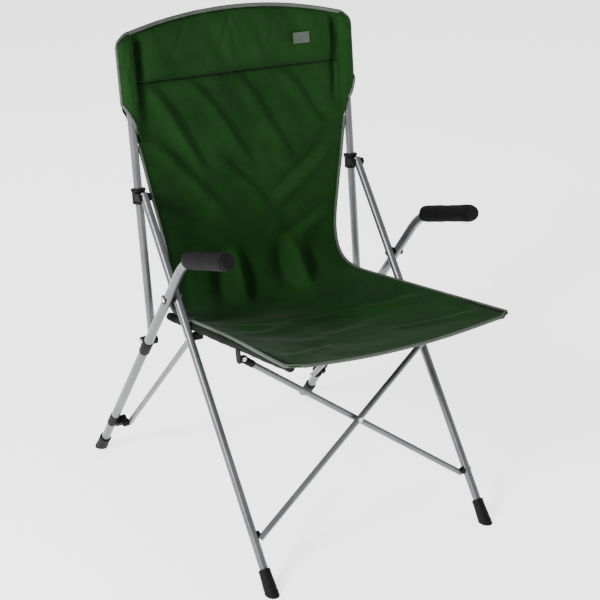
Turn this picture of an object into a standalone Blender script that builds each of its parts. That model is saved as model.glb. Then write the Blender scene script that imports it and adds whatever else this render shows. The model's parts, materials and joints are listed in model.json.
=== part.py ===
"""Folding camp chair: two scissor side frames, a front cross and a fabric sling, in metres with +Z up.

The chair faces -Y, its left side is -X, and the floor is Z = 0.
"""
import math

import bmesh
import bpy
from mathutils import Matrix, Vector

Y_SHIFT = -0.3725           # moves the front feet so the chair's box is centred on the origin
SEGMENTS = 16
PIN_SEGMENTS = 20

# side frame, seen from the side with the front foot at (0, 0)
LEG_LEAN = math.radians(36.7)
ARM_LEAN = math.radians(37.6)
POLE_LEAN = math.radians(7.1)
RAIL_RISE = math.radians(7.5)
LEG_X = 0.270               # front legs and back poles share this plane
ARM_X = 0.2905
RAIL_X = 0.250
CLEVIS_X = 0.249
STRUT_X = 0.2540
LEG_R = 0.009
ARM_R = 0.010
RAIL_R = 0.007
CROSS_R = 0.0065
WALL = 0.0012
GAP = 0.0003

ALONG_CLEVIS = 0.1207       # distances up the front leg from the floor
ALONG_RAIL = 0.5465
ALONG_CROSSING = 0.636
ALONG_COLLAR = 0.861
COLLAR_OFFSET = 0.029       # front leg's top rivet to the pole's axis
FITTING_DOWN = 0.186        # crossing rivet to the pole fitting, down the rear leg
FITTING_BACK = 0.014
POLE_LENGTH = 0.618
RAIL_DROP = 0.016           # rail axis above its pivot
HUB_Y = 0.1424
HUB_DROP = 0.0245           # rail axis above the hub's pivot
RAIL_FRONT_Y = -0.040
RAIL_REAR = 0.130
BEND = (0.294, 0.620)
ARM_END = (0.118, 0.669)
BEND_RADIUS = 0.050
STRUT_FOOT = (0.676, 0.098)
STRUT_TIP = (0.3495, 0.4265)
PIN_R = 0.0030
PIN_HOLE_R = 0.00306
CROSS_LAYER = 0.0072        # each cross tube's distance from the plane between them

STEEL = ("silver powder coat", (0.52, 0.54, 0.54, 1.0), 0.38, 0.55)
BLACK = ("black plastic", (0.016, 0.015, 0.016, 1.0), 0.5, 0.0)
FOAM = ("black foam", (0.010, 0.009, 0.010, 1.0), 0.9, 0.0)
ZINC = ("zinc plate", (0.60, 0.60, 0.58, 1.0), 0.3, 1.0)
GREEN = ("green polyester", (0.016, 0.050, 0.018, 1.0), 0.85, 0.0)
GREY = ("grey polyester", (0.16, 0.18, 0.165, 1.0), 0.85, 0.0)


# ---------------------------------------------------------------- scene helpers
def clear_scene():
    """Remove everything the start-up file holds."""
    for ob in list(bpy.data.objects):
        bpy.data.objects.remove(ob, do_unlink=True)
    for col in list(bpy.data.collections):
        bpy.data.collections.remove(col)


def material(spec):
    """The Principled material a spec names, made once."""
    name, colour, rough, metal = spec
    mat = bpy.data.materials.get(name)
    if mat is None:
        mat = bpy.data.materials.new(name)
        mat.use_nodes = True
        shader = mat.node_tree.nodes["Principled BSDF"]
        shader.inputs["Base Color"].default_value = colour
        shader.inputs["Roughness"].default_value = rough
        shader.inputs["Metallic"].default_value = metal
    return mat


def finish(name, bm, spec):
    """Put a mesh in the scene as one named node in its own collection."""
    bmesh.ops.remove_doubles(bm, verts=bm.verts, dist=1e-6)
    bmesh.ops.recalc_face_normals(bm, faces=bm.faces)
    mesh = bpy.data.meshes.new(name)
    bm.to_mesh(mesh)
    bm.free()
    ob = bpy.data.objects.new(name, mesh)
    ob.data.materials.append(material(spec))
    col = bpy.data.collections.new(name)
    bpy.context.scene.collection.children.link(col)
    col.objects.link(ob)
    return ob


def place(x, y, z):
    """A point of the side frame, moved into the chair's frame."""
    return Vector((x, y + Y_SHIFT, z))


def aim(start, direction):
    """A matrix that takes +Z to a direction and the origin to a point."""
    return Matrix.Translation(start) @ direction.to_track_quat("Z", "Y").to_matrix().to_4x4()


def lathe(profile, start, direction, segments=SEGMENTS, closed=True):
    """Turn a (radius, height) outline about an axis; a closed outline may miss the axis."""
    bm = bmesh.new()
    verts = [bm.verts.new((r, 0.0, h)) for r, h in profile]
    edges = [bm.edges.new(pair) for pair in zip(verts, verts[1:])]
    if closed:
        edges.append(bm.edges.new((verts[-1], verts[0])))
    bmesh.ops.spin(bm, geom=verts + edges, cent=(0, 0, 0), axis=(0, 0, 1),
                   angle=math.tau, steps=segments, use_duplicate=False)
    bmesh.ops.remove_doubles(bm, verts=bm.verts, dist=1e-6)
    loose = [f for f in bm.faces if f.calc_area() < 1e-14]
    bmesh.ops.delete(bm, geom=loose, context="FACES")
    bmesh.ops.transform(bm, matrix=aim(start, direction.normalized()), verts=bm.verts)
    return bm


def rod(a, b, radius, segments=SEGMENTS):
    """A solid round bar between two points."""
    length = (b - a).length
    return lathe([(0, 0), (radius, 0), (radius, length), (0, length)], a, b - a, segments, False)


def tube(a, b, radius, wall=WALL, segments=SEGMENTS):
    """A hollow tube between two points."""
    length = (b - a).length
    outline = [(radius, 0), (radius, length), (radius - wall, length), (radius - wall, 0)]
    return lathe(outline, a, b - a, segments)


def block(size, centre, x_axis=Vector((1, 0, 0)), z_axis=Vector((0, 0, 1)), bevel=0.0):
    """A box of a size about a centre, turned to two axes."""
    bm = bmesh.new()
    bmesh.ops.create_cube(bm, size=1.0)
    bmesh.ops.scale(bm, vec=size, verts=bm.verts)
    if bevel:
        bmesh.ops.bevel(bm, geom=list(bm.edges), offset=bevel, segments=2, affect="EDGES", profile=0.5)
    z_dir = z_axis.normalized()
    y_dir = z_dir.cross(x_axis).normalized()
    x_dir = y_dir.cross(z_dir)
    turn = Matrix((x_dir, y_dir, z_dir)).transposed().to_4x4()
    bmesh.ops.transform(bm, matrix=Matrix.Translation(centre) @ turn, verts=bm.verts)
    return bm


def combine(ob, bms, operation):
    """Apply exact Booleans of loose meshes to an object."""
    for number, bm in enumerate(bms):
        bmesh.ops.recalc_face_normals(bm, faces=bm.faces)
        mesh = bpy.data.meshes.new(f"{ob.name}.cutter.{number}")
        bm.to_mesh(mesh)
        bm.free()
        cutter = bpy.data.objects.new(mesh.name, mesh)
        bpy.context.scene.collection.objects.link(cutter)
        mod = ob.modifiers.new("combine", "BOOLEAN")
        mod.object = cutter
        mod.operation = operation
        mod.solver = "EXACT"
        graph = bpy.context.evaluated_depsgraph_get()
        done = bpy.data.meshes.new_from_object(ob.evaluated_get(graph))
        ob.modifiers.clear()
        ob.data = done
        bpy.data.objects.remove(cutter, do_unlink=True)
        tidy = bmesh.new()
        tidy.from_mesh(ob.data)
        bmesh.ops.remove_doubles(tidy, verts=tidy.verts, dist=2e-6)
        bmesh.ops.dissolve_degenerate(tidy, edges=tidy.edges, dist=2e-6)
        bmesh.ops.triangulate(tidy, faces=[f for f in tidy.faces if len(f.verts) > 4])
        tidy.to_mesh(ob.data)
        tidy.free()
    return ob


def rivet(name, x_from, x_to, centre, side, head_r=0.0058, head_t=0.0022, far_head=True):
    """A rivet across the chair: a shank from one x to another with a head outside each."""
    low = place(side * x_from, *centre)
    direction = Vector((side, 0, 0))
    span = x_to - x_from
    outline = [(0, -head_t), (head_r * 0.75, -head_t), (head_r, -head_t * 0.45), (head_r, 0),
               (PIN_R, 0), (PIN_R, span)]
    if far_head:
        outline += [(head_r, span), (head_r, span + head_t * 0.45),
                    (head_r * 0.75, span + head_t), (0, span + head_t)]
    else:
        outline += [(0, span)]
    return finish(name, lathe(outline, low, direction, PIN_SEGMENTS, False), ZINC)


def pin_cut(x_from, x_to, centre, side):
    """The hole a rivet's shank runs in."""
    return rod(place(side * x_from, *centre), place(side * x_to, *centre), PIN_HOLE_R, PIN_SEGMENTS)


def cut_below_floor(bm):
    """Trim a foot flat at the floor and close it."""
    geom = list(bm.verts) + list(bm.edges) + list(bm.faces)
    cut = bmesh.ops.bisect_plane(bm, geom=geom, plane_co=(0, 0, 0), plane_no=(0, 0, 1), clear_inner=True)
    rim = [e for e in cut["geom_cut"] if isinstance(e, bmesh.types.BMEdge)]
    bmesh.ops.contextual_create(bm, geom=rim)
    return bm


# ---------------------------------------------------------------- side frame points
LEG_DIR = (math.sin(LEG_LEAN), math.cos(LEG_LEAN))
ARM_DOWN = (math.sin(ARM_LEAN), -math.cos(ARM_LEAN))
ARM_BACK = (math.cos(ARM_LEAN), math.sin(ARM_LEAN))
POLE_UP = (math.sin(POLE_LEAN), math.cos(POLE_LEAN))
POLE_FRONT = (-math.cos(POLE_LEAN), math.sin(POLE_LEAN))
RAIL_FRONT = (-math.cos(RAIL_RISE), math.sin(RAIL_RISE))
RAIL_UP = (math.sin(RAIL_RISE), math.cos(RAIL_RISE))


def step(point, direction, distance):
    """A side-frame point moved along a direction."""
    return (point[0] + direction[0] * distance, point[1] + direction[1] * distance)


def vec(direction):
    """A side-frame direction in the chair's frame."""
    return Vector((0, direction[0], direction[1]))


FRONT_FOOT = (0.0, 0.0)
CLEVIS = step(FRONT_FOOT, LEG_DIR, ALONG_CLEVIS)
RAIL_PIVOT = step(FRONT_FOOT, LEG_DIR, ALONG_RAIL)
CROSSING = step(FRONT_FOOT, LEG_DIR, ALONG_CROSSING)
COLLAR_PIN = step(FRONT_FOOT, LEG_DIR, ALONG_COLLAR)
COLLAR_MID = step(COLLAR_PIN, POLE_FRONT, -COLLAR_OFFSET)
FITTING = step(step(CROSSING, ARM_DOWN, FITTING_DOWN), ARM_BACK, FITTING_BACK)
REAR_FOOT = step(CROSSING, ARM_DOWN, CROSSING[1] / math.cos(ARM_LEAN))
POLE_FOOT = step(COLLAR_MID, POLE_UP, -((COLLAR_MID[1] - FITTING[1]) / POLE_UP[1]))
RAIL_MID = step(RAIL_PIVOT, RAIL_UP, RAIL_DROP)
RAIL_FRONT_END = step(RAIL_MID, RAIL_FRONT, (RAIL_MID[0] - RAIL_FRONT_Y) / math.cos(RAIL_RISE))
RAIL_REAR_END = step(RAIL_MID, RAIL_FRONT, -RAIL_REAR)
HUB = step(step(RAIL_MID, RAIL_FRONT, (RAIL_MID[0] - HUB_Y) / math.cos(RAIL_RISE)), RAIL_UP, -HUB_DROP)


def along_arm(distance):
    """A point on the rear leg's axis, a distance below the crossing rivet."""
    return step(CROSSING, ARM_DOWN, distance)


# ---------------------------------------------------------------- frame pieces
BOOT_SOCKET = 0.017
FOOT_R = 0.0142


def boot(name, foot, direction, side, x_mid, tube_r, top):
    """A moulded boot with a socket for its tube and a sole flat on the floor."""
    socket_r = tube_r + GAP
    outline = [(0, -0.03), (FOOT_R + 0.0006, -0.03), (FOOT_R, 0.006), (tube_r + 0.0030, top - 0.004),
               (tube_r + 0.0024, top), (socket_r, top), (socket_r, BOOT_SOCKET), (0, BOOT_SOCKET)]
    bm = lathe(outline, place(side * x_mid, *foot), vec(direction), SEGMENTS, False)
    return finish(name, cut_below_floor(bm), BLACK)


def front_leg(tag, side):
    """Front leg: a straight tube from its boot to the collar rivet."""
    low = step(FRONT_FOOT, LEG_DIR, BOOT_SOCKET + GAP)
    high = step(COLLAR_PIN, LEG_DIR, 0.0085)
    ob = finish(f"front_leg_{tag}",
                tube(place(side * LEG_X, *low), place(side * LEG_X, *high), LEG_R), STEEL)
    cuts = [pin_cut(LEG_X - 0.02, LEG_X + 0.02, p, side)
            for p in (RAIL_PIVOT, CROSSING, COLLAR_PIN)]
    combine(ob, cuts, "DIFFERENCE")
    boot(f"front_boot_{tag}", FRONT_FOOT, LEG_DIR, side, LEG_X, LEG_R, 0.052)


def bend_points():
    """The armrest and rear leg as one bent line, from the foot up to the grip's end."""
    low = step(REAR_FOOT, ARM_DOWN, -(BOOT_SOCKET + GAP))
    corner = along_arm(-(BEND[1] - CROSSING[1]) / math.cos(ARM_LEAN))
    a_dir = Vector(corner) - Vector(low)
    b_dir = Vector(ARM_END) - Vector(corner)
    turn = a_dir.angle(b_dir)
    reach = BEND_RADIUS * math.tan(turn / 2)
    start = Vector(corner) - a_dir.normalized() * reach
    end = Vector(corner) + b_dir.normalized() * reach
    arc = []
    for i in range(7):
        t = i / 6
        arc.append(start * (1 - t) ** 2 + Vector(corner) * 2 * t * (1 - t) + end * t * t)
    return [Vector(low)] + arc + [Vector(ARM_END)]


def arm_tube(tag, side):
    """Armrest and rear leg, bent from one tube."""
    curve = bpy.data.curves.new("arm", "CURVE")
    curve.dimensions = "3D"
    curve.bevel_depth = ARM_R
    curve.bevel_resolution = 3
    spline = curve.splines.new("POLY")
    points = bend_points()
    spline.points.add(len(points) - 1)
    for slot, p in zip(spline.points, points):
        slot.co = (*place(side * ARM_X, p[0], p[1]), 1.0)
    holder = bpy.data.objects.new("arm", curve)
    bpy.context.scene.collection.objects.link(holder)
    solid = holder.modifiers.new("wall", "SOLIDIFY")
    solid.thickness = WALL
    solid.offset = -1.0
    graph = bpy.context.evaluated_depsgraph_get()
    mesh = bpy.data.meshes.new_from_object(holder.evaluated_get(graph))
    bm = bmesh.new()
    bm.from_mesh(mesh)
    bpy.data.objects.remove(holder, do_unlink=True)
    ob = finish(f"arm_tube_{tag}", bm, STEEL)
    return combine(ob, [pin_cut(ARM_X - 0.02, ARM_X + 0.02, CROSSING, side)], "DIFFERENCE")


GRIP_START = 0.030          # past the bend's corner, along the armrest
GRIP_R = 0.018


def grip(tag, side):
    """Foam sleeve on the armrest with a ring-shaped plug in its front end."""
    corner = Vector(along_arm(-(BEND[1] - CROSSING[1]) / math.cos(ARM_LEAN)))
    run = Vector(ARM_END) - corner
    length = run.length
    forward = vec(run.normalized())
    start = corner + run.normalized() * GRIP_START
    foam = length - GRIP_START - 0.001
    bore = ARM_R + GAP
    outline = [(bore, 0), (GRIP_R - 0.003, 0), (GRIP_R, 0.004), (GRIP_R, foam - 0.003),
               (GRIP_R - 0.002, foam), (bore, foam)]
    finish(f"arm_grip_{tag}", lathe(outline, place(side * ARM_X, *start), forward), FOAM)
    bore = ARM_R - WALL - 4 * GAP
    plug = [(0, -0.012), (bore, -0.012), (bore, GAP),
            (ARM_R + 0.004, GAP), (ARM_R + 0.004, 0.0035), (ARM_R + 0.001, 0.005), (0, 0.005)]
    finish(f"grip_plug_{tag}", lathe(plug, place(side * ARM_X, *ARM_END), forward, SEGMENTS, False), BLACK)


def collar(tag, side):
    """Sliding collar on the back pole with a fork for the front leg's top."""
    mid = place(side * LEG_X, *COLLAR_MID)
    up = vec(POLE_UP)
    bore = LEG_R + GAP
    outline = [(bore, -0.0165), (0.0140, -0.0165), (0.0145, -0.013), (0.0145, 0.0105),
               (0.0158, 0.0115), (0.0158, 0.0155), (bore, 0.0165)]
    ob = finish(f"collar_{tag}", lathe(outline, mid, up), BLACK)
    front = vec(POLE_FRONT)
    cheeks = []
    for x_mid in (LEG_X - LEG_R - GAP - 0.002, LEG_X + LEG_R + GAP + 0.002):
        centre = place(side * x_mid, *COLLAR_MID) + front * 0.0205
        cheeks.append(block((0.004, 0.030, 0.016), centre, Vector((1, 0, 0)), up, 0.0012))
    combine(ob, cheeks, "UNION")
    bore_cut = rod(mid - up * 0.03, mid + up * 0.03, bore)
    combine(ob, [bore_cut, pin_cut(LEG_X - 0.02, LEG_X + 0.02, COLLAR_PIN, side)], "DIFFERENCE")
    reach = LEG_R + GAP + 0.004 + GAP
    rivet(f"collar_rivet_{tag}", LEG_X - reach, LEG_X + reach, COLLAR_PIN, side)


EYE_R = 0.0108


def pole(tag, side):
    """Back pole with an eye at its foot."""
    low = step(POLE_FOOT, POLE_UP, 0.004)
    high = step(POLE_FOOT, POLE_UP, POLE_LENGTH)
    finish(f"back_pole_{tag}",
           tube(place(side * LEG_X, *low), place(side * LEG_X, *high), LEG_R), STEEL)
    eye = finish(f"pole_eye_{tag}",
                 rod(place(side * (LEG_X - LEG_R), *POLE_FOOT), place(side * (LEG_X + LEG_R), *POLE_FOOT),
                     EYE_R), BLACK)
    clear = rod(place(side * LEG_X, *low) - vec(POLE_UP) * GAP,
                place(side * LEG_X, *high), LEG_R + GAP)
    combine(eye, [clear], "DIFFERENCE")


CLAMP_R = 0.0113


def clamp(mid, half, side, extra):
    """A thin clamp round the rear leg with loose solids joined to it."""
    bore = ARM_R + GAP
    a = place(side * ARM_X, *step(mid, ARM_DOWN, -half))
    b = place(side * ARM_X, *step(mid, ARM_DOWN, half))
    ob = finish("clamp", tube(a, b, CLAMP_R, CLAMP_R - bore), BLACK)
    combine(ob, extra, "UNION")
    run = (b - a).normalized()
    return combine(ob, [rod(a - run * 0.02, b + run * 0.02, bore)], "DIFFERENCE")


def rename(ob, name):
    """Give a built object and its collection their node name."""
    old = ob.users_collection[0]
    ob.name = name
    ob.data.name = name
    old.name = name
    return ob


def pole_fitting(tag, side):
    """Fitting on the rear leg that carries the back pole's eye."""
    mid = along_arm(FITTING_DOWN)
    disc = rod(place(side * (LEG_X + LEG_R + GAP), *FITTING), place(side * (ARM_X + 0.006), *FITTING),
               EYE_R)
    rename(clamp(mid, 0.019, side, [disc]), f"pole_fitting_{tag}")


def crossing_rivet(tag, side):
    """Rivet and spacer where the front leg crosses the armrest tube."""
    rivet(f"crossing_rivet_{tag}", LEG_X - LEG_R - GAP, ARM_X + ARM_R + GAP, CROSSING, side, head_t=0.0009)
    low = LEG_X + LEG_R + GAP
    high = ARM_X - ARM_R - GAP
    hole = PIN_HOLE_R + 0.0003
    ring = [(hole, 0), (0.0105, 0), (0.0105, high - low), (hole, high - low)]
    finish(f"crossing_spacer_{tag}",
           lathe(ring, place(side * low, *CROSSING), Vector((side, 0, 0)), PIN_SEGMENTS), BLACK)


def rear_bracket(tag, side):
    """Bracket low on the rear leg that carries the strut."""
    offset = Vector(STRUT_FOOT) - Vector(CROSSING)
    down = offset.dot(Vector(ARM_DOWN))
    mid = along_arm(down)
    x_in = STRUT_X + CROSS_R + GAP
    disc = rod(place(side * x_in, *STRUT_FOOT), place(side * (x_in + 0.012), *STRUT_FOOT), 0.0095)
    gap_mid = (Vector(mid) + Vector(STRUT_FOOT)) / 2
    reach = (Vector(mid) - Vector(STRUT_FOOT)).length
    web_x = (x_in + ARM_X) / 2
    web = block((ARM_X - x_in - 0.001, reach + 0.004, 0.014), place(side * (web_x + 0.0005), *gap_mid),
                Vector((1, 0, 0)), vec(ARM_DOWN), 0.001)
    rename(clamp(mid, 0.018, side, [disc, web]), f"rear_bracket_{tag}")
    ob = bpy.data.objects[f"rear_bracket_{tag}"]
    combine(ob, [pin_cut(x_in - 0.01, x_in + 0.014, STRUT_FOOT, side)], "DIFFERENCE")
    rivet(f"strut_rivet_{tag}", STRUT_X - CROSS_R - GAP, x_in + 0.010, STRUT_FOOT, side, 0.0055,
          far_head=False)


def strut(tag, side):
    """Rear strut from its bracket up to the sling's hem beside the rail pivot."""
    run = (Vector(STRUT_TIP) - Vector(STRUT_FOOT)).normalized()
    low = step(STRUT_FOOT, run, -0.010)
    ob = finish(f"rear_strut_{tag}",
                tube(place(side * STRUT_X, *low), place(side * STRUT_X, *STRUT_TIP), CROSS_R, 0.001), STEEL)
    combine(ob, [pin_cut(STRUT_X - 0.02, STRUT_X + 0.02, STRUT_FOOT, side)], "DIFFERENCE")


SLEEVE_R = 0.0095
HUB_PLATE_IN = 0.0090       # from the hub's centre out to its bracket's inner face


def rail(tag, side):
    """Seat rail with its fabric sleeve, front cap, pivot bracket and cross hub."""
    front = place(side * RAIL_X, *RAIL_FRONT_END)
    rear = place(side * RAIL_X, *RAIL_REAR_END)
    run = (front - rear).normalized()
    finish(f"seat_rail_{tag}", tube(rear, front, RAIL_R, 0.001), STEEL)
    finish(f"rail_sleeve_{tag}",
           tube(rear + run * 0.004, front - run * 0.004, SLEEVE_R, SLEEVE_R - RAIL_R - GAP), GREEN)
    notch = block((0.03, 0.036, 0.014), place(side * RAIL_X, *step(HUB, RAIL_UP, HUB_DROP - 0.0125)),
                  Vector((1, 0, 0)), vec(RAIL_UP))
    combine(bpy.data.objects[f"rail_sleeve_{tag}"], [notch], "DIFFERENCE")
    inner = RAIL_R - 0.001 - GAP
    cap = [(0, -0.012), (inner, -0.012), (inner, GAP), (RAIL_R + 0.0015, GAP), (RAIL_R + 0.0010, 0.004),
           (0, 0.006)]
    finish(f"rail_cap_{tag}", lathe(cap, front, run, SEGMENTS, False), BLACK)
    x_out = LEG_X - LEG_R - GAP
    bracket_len = 0.026
    low = RAIL_DROP - SLEEVE_R - GAP
    body = block((x_out - 0.2440, bracket_len, low + 0.006),
                 place(side * (x_out + 0.2440) / 2, *step(RAIL_PIVOT, RAIL_UP, low - (low + 0.006) / 2)),
                 Vector((1, 0, 0)), vec(RAIL_UP), 0.001)
    ob = finish(f"rail_bracket_{tag}", body, BLACK)
    boss = rod(place(side * 0.2440, *RAIL_PIVOT), place(side * x_out, *RAIL_PIVOT), 0.0088)
    trim = block((0.04, 0.06, 0.02), place(side * RAIL_X, *step(RAIL_PIVOT, RAIL_UP, low + 0.01)),
                 Vector((1, 0, 0)), vec(RAIL_UP))
    combine(ob, [boss], "UNION")
    combine(ob, [trim, pin_cut(0.23, 0.27, RAIL_PIVOT, side)], "DIFFERENCE")
    rivet(f"rail_rivet_{tag}", 0.2440 - GAP, LEG_X + LEG_R + GAP, RAIL_PIVOT, side, 0.0055, 0.0009)
    plate_in = CLEVIS_X + HUB_PLATE_IN
    plate_mid = (plate_in + x_out) / 2
    plate = block((x_out - plate_in, 0.017, HUB_DROP - 0.004),
                  place(side * plate_mid, *step(HUB, RAIL_UP, (HUB_DROP - 0.004) / 2)),
                  Vector((1, 0, 0)), vec(RAIL_UP))
    holder = finish(f"hub_bracket_{tag}", plate, BLACK)
    combine(holder, [rod(place(side * plate_in, *HUB), place(side * x_out, *HUB), 0.0085)], "UNION")
    sleeve_cut = rod(rear, front, SLEEVE_R + GAP)
    combine(holder, [sleeve_cut, pin_cut(0.24, 0.27, HUB, side)], "DIFFERENCE")


# ---------------------------------------------------------------- front cross
CROSS_UP = Vector((0, HUB[0] - CLEVIS[0], HUB[1] - CLEVIS[1]))
CROSS_NORMAL = Vector((1, 0, 0)).cross(CROSS_UP).normalized()
CROSS_CENTRE = (place(0, *CLEVIS) + place(0, *HUB)) / 2
END_REACH = 0.002           # the tubes run this far past their end pivots


def cross_tube(tag, side, layer):
    """One tube of the front cross, from beside one front leg up to the other side's hub."""
    low = place(side * CLEVIS_X, *CLEVIS)
    high = place(-side * CLEVIS_X, *HUB)
    run = (high - low).normalized()
    shift = CROSS_NORMAL * layer
    ob = finish(f"cross_tube_{tag}",
                tube(low - run * END_REACH + shift, high + run * END_REACH + shift, CROSS_R, 0.001), STEEL)
    reach = CROSS_NORMAL * 0.012
    cuts = [rod(p + shift - reach, p + shift + reach, PIN_HOLE_R, PIN_SEGMENTS) for p in (high, CROSS_CENTRE)]
    combine(ob, cuts, "DIFFERENCE")


def normal_rivet(name, centre, low, high, head_r):
    """A rivet along the cross's normal."""
    span = high - low
    outline = [(0, -0.002), (head_r * 0.75, -0.002), (head_r, -0.0009), (head_r, 0), (PIN_R, 0),
               (PIN_R, span), (head_r, span), (head_r, span + 0.0009), (head_r * 0.75, span + 0.002),
               (0, span + 0.002)]
    finish(name, lathe(outline, centre + CROSS_NORMAL * low, CROSS_NORMAL, PIN_SEGMENTS, False), ZINC)


HUB_R = 0.0085
HUB_PLATE = 0.004


def hub(tag, side, layer):
    """Hub that turns under the seat rail and carries the top of a cross tube."""
    mid = place(side * CLEVIS_X, *HUB)
    away = CROSS_NORMAL * math.copysign(1.0, -layer)
    ob = finish(f"cross_hub_{tag}", rod(mid, mid + away * HUB_PLATE, HUB_R), BLACK)
    inner = CLEVIS_X + CROSS_R + 2 * GAP
    outer = CLEVIS_X + HUB_PLATE_IN - GAP
    combine(ob, [rod(place(side * inner, *HUB), place(side * outer, *HUB), HUB_R)], "UNION")
    combine(ob, [rod(place(side * (outer - 0.001), *HUB), place(side * (outer + 0.003), *HUB), PIN_R, PIN_SEGMENTS)],
            "UNION")
    pin = rod(mid - away * 0.02, mid + away * 0.02, PIN_HOLE_R, PIN_SEGMENTS)
    combine(ob, [pin], "DIFFERENCE")
    ends = sorted((-HUB_PLATE * math.copysign(1.0, layer) * 1.08, layer + math.copysign(CROSS_R + GAP, layer)))
    normal_rivet(f"hub_pin_{tag}", mid, ends[0], ends[1], 0.0050)


def leg_knob(tag, side):
    """Stop low on the front leg, beside the foot of a cross tube."""
    x_out = LEG_X - LEG_R - GAP
    outline = [(0, 0), (0.0070, 0), (0.0085, 0.0012), (0.0085, 0.0044), (0, 0.0044)]
    finish(f"leg_knob_{tag}",
           lathe(outline, place(side * (x_out - 0.0044), *CLEVIS), Vector((side, 0, 0)), SEGMENTS, False), BLACK)


# ---------------------------------------------------------------- sling
SHEET = 0.003
SEAT_HALF = 0.2395
SEAT_FRONT_Y = -0.046
SEAT_REAR_Y = 0.452
BACK_LOW = 0.045            # distances up the pole where the back sheet starts
BACK_HIGH = 0.640


def sheet(name, rows, columns, surface, thickness, spec):
    """A closed thin solid over a surface(u, v) -> (point, normal)."""
    bm = bmesh.new()
    layers = []
    for half in (0.5, -0.5):
        grid = []
        for i in range(rows + 1):
            line = []
            for j in range(columns + 1):
                point, normal = surface(i / rows, j / columns)
                line.append(bm.verts.new(point + normal * thickness * half))
            grid.append(line)
        layers.append(grid)
    top, bottom = layers
    for i in range(rows):
        for j in range(columns):
            bm.faces.new((top[i][j], top[i][j + 1], top[i + 1][j + 1], top[i + 1][j]))
            bm.faces.new((bottom[i][j], bottom[i + 1][j], bottom[i + 1][j + 1], bottom[i][j + 1]))
    ring = [(0, j) for j in range(columns)] + [(i, columns) for i in range(rows)]
    ring += [(rows, j) for j in range(columns, 0, -1)] + [(i, 0) for i in range(rows, 0, -1)]
    for (a, b), (c, d) in zip(ring, ring[1:] + ring[:1]):
        bm.faces.new((top[a][b], bottom[a][b], bottom[c][d], top[c][d]))
    return finish(name, bm, spec)


def seat_surface(u, v):
    """Seat sheet: u runs from front to rear, v from left to right, sagging between the rails."""
    across = 2 * v - 1
    y = SEAT_FRONT_Y + (SEAT_REAR_Y - SEAT_FRONT_Y) * u
    rail_z = RAIL_MID[1] + (RAIL_MID[0] - y) * math.tan(RAIL_RISE)
    sag = (0.020 + 0.022 * math.sin(math.pi * min(u * 1.15, 1.0) * 0.55)) * (1 - across * across)
    return place(across * SEAT_HALF, y, rail_z - 0.001 - sag), Vector((0, 0, 1))


def back_half_width(along):
    """Half the back sheet's width at a distance up the pole."""
    table = [(0.045, 0.246), (0.075, 0.226), (0.110, 0.214), (0.160, 0.2145), (0.250, 0.227),
             (0.340, 0.241), (0.430, 0.2545), (0.640, 0.2560)]
    for (a, wa), (b, wb) in zip(table, table[1:]):
        if along <= b:
            return wa + (wb - wa) * (along - a) / (b - a)
    return table[-1][1]


def back_surface(u, v):
    """Back sheet: u runs up the poles, v from left to right, hollow between the poles."""
    across = 2 * v - 1
    along = BACK_LOW + (BACK_HIGH - BACK_LOW) * u
    along += 0.040 * (1 - across * across) * max(0.0, (u - 0.8) / 0.2)
    hollow = (0.010 + 0.012 * math.sin(math.pi * u)) * (1 - across * across)
    point = step(POLE_FOOT, POLE_UP, along)
    point = step(point, POLE_FRONT, -hollow)
    return place(across * back_half_width(along), *point), vec(POLE_FRONT)


PAD_LOW = 0.545
PAD_HIGH = 0.632


def pad_surface(u, v):
    """Headrest pad's middle surface, in front of the back sheet's top."""
    across = 2 * v - 1
    along = PAD_LOW + (PAD_HIGH - PAD_LOW) * u + 0.034 * (1 - across * across) * u
    hollow = 0.011 * (1 - across * across)
    point = step(step(POLE_FOOT, POLE_UP, along), POLE_FRONT, -hollow + 0.0080)
    return place(across * 0.236, *point), vec(POLE_FRONT)


def label_surface(u, v):
    """A small blank woven tab sewn on the headrest pad."""
    point = step(step(POLE_FOOT, POLE_UP, 0.600 + 0.022 * u), POLE_FRONT, 0.0104)
    return place(0.128 + 0.040 * v, *point), vec(POLE_FRONT)


POCKET_LOW = 0.430
POCKET_HIGH = POLE_LENGTH + 0.012


def pole_pocket(tag, side):
    """Fabric pocket of the sling that slips over the back pole's top."""
    low = step(POLE_FOOT, POLE_UP, POCKET_LOW)
    base = place(side * LEG_X, *low)
    up = vec(POLE_UP)
    height = POCKET_HIGH - POCKET_LOW
    inner = LEG_R + 2 * GAP
    outline = [(inner, 0), (inner + 0.0028, 0), (inner + 0.0028, height - 0.003), (inner, height + 0.003),
               (0, height + 0.004), (0, height), (inner, height)]
    finish(f"pole_pocket_{tag}", lathe(outline, base, up), GREEN)


# ---------------------------------------------------------------- build
clear_scene()
for side_tag, sign in (("left", -1), ("right", 1)):
    front_leg(side_tag, sign)
    arm_tube(side_tag, sign)
    boot(f"rear_boot_{side_tag}", REAR_FOOT, (-ARM_DOWN[0], -ARM_DOWN[1]), sign, ARM_X, ARM_R, 0.050)
    grip(side_tag, sign)
    collar(side_tag, sign)
    pole(side_tag, sign)
    pole_fitting(side_tag, sign)
    crossing_rivet(side_tag, sign)
    rear_bracket(side_tag, sign)
    strut(side_tag, sign)
    rail(side_tag, sign)
    hub(side_tag, sign, CROSS_LAYER * sign)
    leg_knob(side_tag, sign)
    cross_tube(side_tag, sign, -CROSS_LAYER * sign)
    pole_pocket(side_tag, sign)
normal_rivet("cross_rivet", CROSS_CENTRE, -CROSS_LAYER - CROSS_R - GAP, CROSS_LAYER + CROSS_R + GAP, 0.0055)
sheet("seat_sling", 8, 8, seat_surface, SHEET, GREEN)
sheet("back_sling", 12, 8, back_surface, SHEET, GREEN)
sheet("headrest_pad", 3, 8, pad_surface, 0.009, GREEN)
sheet("blank_label", 1, 2, label_surface, 0.0008, GREY)
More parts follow.
